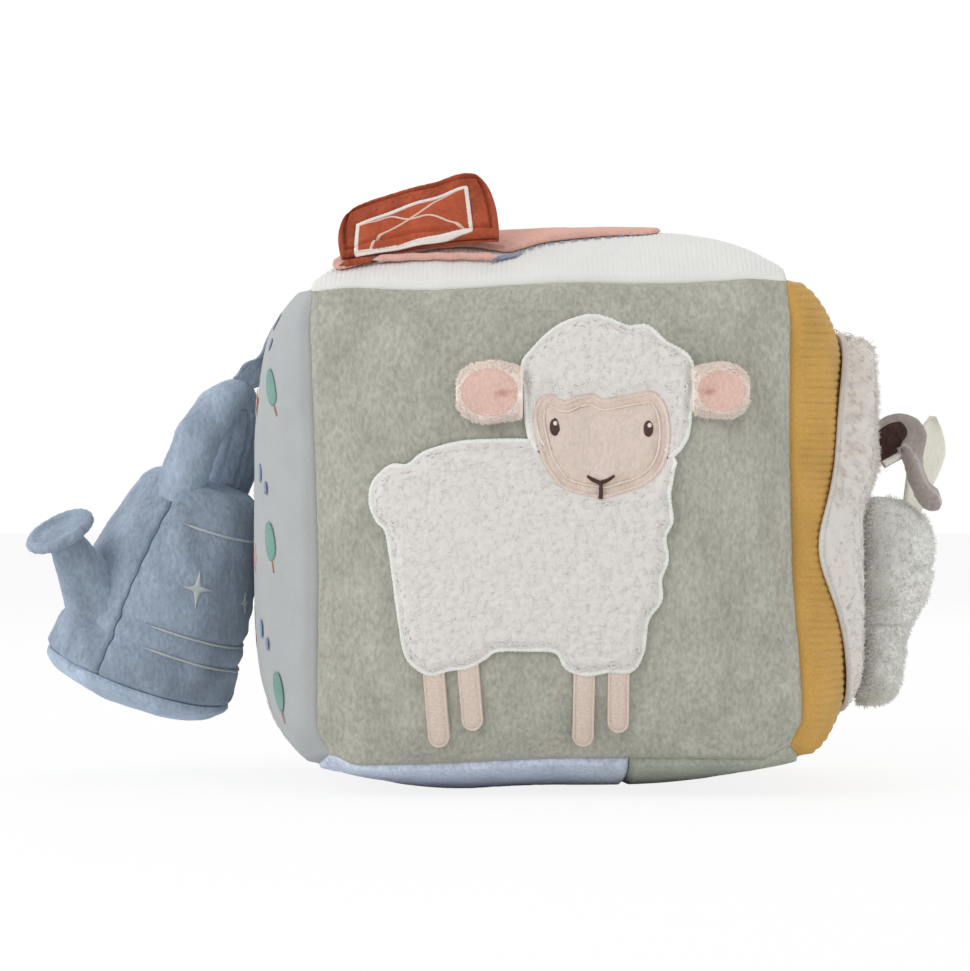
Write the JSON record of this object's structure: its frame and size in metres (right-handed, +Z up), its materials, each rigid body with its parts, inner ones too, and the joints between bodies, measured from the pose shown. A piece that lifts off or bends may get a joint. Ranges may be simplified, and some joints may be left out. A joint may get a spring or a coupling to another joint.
{
  "type": "soft fabric block",
  "caption": "Stuffed fabric activity block with a sheep on its front, a padded barn door on top, a hanging stuffed watering can and a hanging stuffed animal head.",
  "frame": {"origin": "middle of the flat patch on the bottom that the block rests on", "axes": "+Z up, +X from the watering can towards the hanging head, -Y towards the viewer and the sheep"},
  "size_m": [0.2821, 0.1728, 0.1824],
  "materials": {
    "sage_velour": "short pile velour",
    "back_velour": "short pile velour",
    "printed_cotton": "printed cotton jersey",
    "mustard_rib": "ribbed jersey",
    "white_rib": "fine ribbed jersey",
    "base_blue_velour": "short pile velour",
    "base_sage_velour": "short pile velour",
    "stuffing": "polyester fibre filling",
    "rattle_plastic": "moulded plastic",
    "bead_plastic": "moulded plastic",
    "sherpa_wool": "curly sherpa pile",
    "face_velour": "short pile velour",
    "leg_satin_stitch": "satin stitch thread",
    "brown_thread": "embroidery thread",
    "ear_cream_plush": "soft plush",
    "ear_pink_velour": "short pile velour",
    "barn_pink_velour": "short pile velour",
    "terracotta_velour": "short pile velour",
    "crinkle_film": "thin crinkle film",
    "can_blue_velour": "short pile velour",
    "cream_fluff": "long fluffy pile",
    "grey_plush": "brushed plush",
    "taupe_velour": "short pile velour",
    "pale_ear_cloth": "brushed cotton"
  },
  "bodies": {
    "block": {"front_panel": "sage_velour", "back_panel": "back_velour", "left_panel": "printed_cotton", "right_panel": "mustard_rib", "top_panel": "white_rib", "bottom_panel_blue": "base_blue_velour", "bottom_panel_sage": "base_sage_velour", "filling_lower": "stuffing", "filling_upper": "stuffing", "rattle_cup_upper": "rattle_plastic", "rattle_cup_lower": "rattle_plastic", "sheep_body": "sherpa_wool", "sheep_head_wool": "sherpa_wool", "sheep_face": "face_velour", "sheep_leg_1": "leg_satin_stitch", "sheep_leg_2": "leg_satin_stitch", "sheep_leg_3": "leg_satin_stitch", "sheep_leg_4": "leg_satin_stitch", "sheep_eye_left": "brown_thread", "sheep_eye_right": "brown_thread", "sheep_nose": "brown_thread", "barn_patch": "barn_pink_velour", "wool_patch": "cream_fluff"},
    "rattle_bead_a": {"rattle_bead_1": "bead_plastic"},
    "rattle_bead_b": {"rattle_bead_2": "bead_plastic"},
    "rattle_bead_c": {"rattle_bead_3": "bead_plastic"},
    "left_ear": {"sheep_ear_left": "ear_cream_plush", "sheep_ear_left_lining": "ear_pink_velour"},
    "right_ear": {"sheep_ear_right": "ear_cream_plush", "sheep_ear_right_lining": "ear_pink_velour"},
    "barn_door": {"barn_door_front": "terracotta_velour", "barn_door_back": "terracotta_velour", "barn_door_film": "crinkle_film"},
    "strap": {"can_strap": "can_blue_velour"},
    "watering_can": {"can_body": "can_blue_velour", "can_base": "can_blue_velour", "can_spout": "can_blue_velour", "can_rose": "can_blue_velour", "can_handle": "can_blue_velour"},
    "hanging_head": {"side_head": "grey_plush"},
    "dark_ear": {"side_ear_dark": "taupe_velour"},
    "pale_ear": {"side_ear_pale": "pale_ear_cloth"}
  },
  "joints": [
    {"name": "strap_swing", "type": "hinge", "parent": "block", "child": "strap", "pos_m": [-0.0715, 0.014, 0.1482], "axis": [0, 1, 0], "range_deg": [0, 95]},
    {"name": "can_swing", "type": "hinge", "parent": "strap", "child": "watering_can", "pos_m": [-0.0968, 0.01361, 0.11782], "axis": [0.4758, 0.8773, -0.0633], "range_deg": [0, 70]},
    {"name": "barn_door_fold", "type": "hinge", "parent": "block", "child": "barn_door", "pos_m": [-0.039, -0.0563, 0.16069], "axis": [0.9903, 0, 0.1392], "range_deg": [-22, 70], "stiffness_Nm_per_rad": 0.006},
    {"name": "left_ear_fold", "type": "hinge", "parent": "block", "child": "left_ear", "pos_m": [-0.00931, -0.0865, 0.1163], "axis": [0, 0, 1], "range_deg": [0, 60], "stiffness_Nm_per_rad": 0.002},
    {"name": "right_ear_fold", "type": "hinge", "parent": "block", "child": "right_ear", "pos_m": [0.03887, -0.0838, 0.1163], "axis": [0, 0, -1], "range_deg": [0, 60], "stiffness_Nm_per_rad": 0.002},
    {"name": "head_lift", "type": "hinge", "parent": "block", "child": "hanging_head", "pos_m": [0.0983, -0.005, 0.108], "axis": [0, -1, 0], "range_deg": [0, 66]},
    {"name": "dark_ear_bend", "type": "hinge", "parent": "hanging_head", "child": "dark_ear", "pos_m": [0.0983, -0.014, 0.1045], "axis": [0, -1, 0], "range_deg": [0, 6], "stiffness_Nm_per_rad": 0.002},
    {"name": "pale_ear_bend", "type": "hinge", "parent": "hanging_head", "child": "pale_ear", "pos_m": [0.1102, 0.006, 0.0815], "axis": [-0.7735, -0.6157, 0.1502], "range_deg": [0, 15], "stiffness_Nm_per_rad": 0.002},
    {"name": "bead_a_hop", "type": "slide", "parent": "block", "child": "rattle_bead_a", "axis": [0, 0, 1], "range_m": [0, 0.007]},
    {"name": "bead_b_hop", "type": "slide", "parent": "block", "child": "rattle_bead_b", "axis": [0, 0, 1], "range_m": [0, 0.007]},
    {"name": "bead_c_hop", "type": "slide", "parent": "block", "child": "rattle_bead_c", "axis": [0, 0, 1], "range_m": [0, 0.007]}
  ]
}
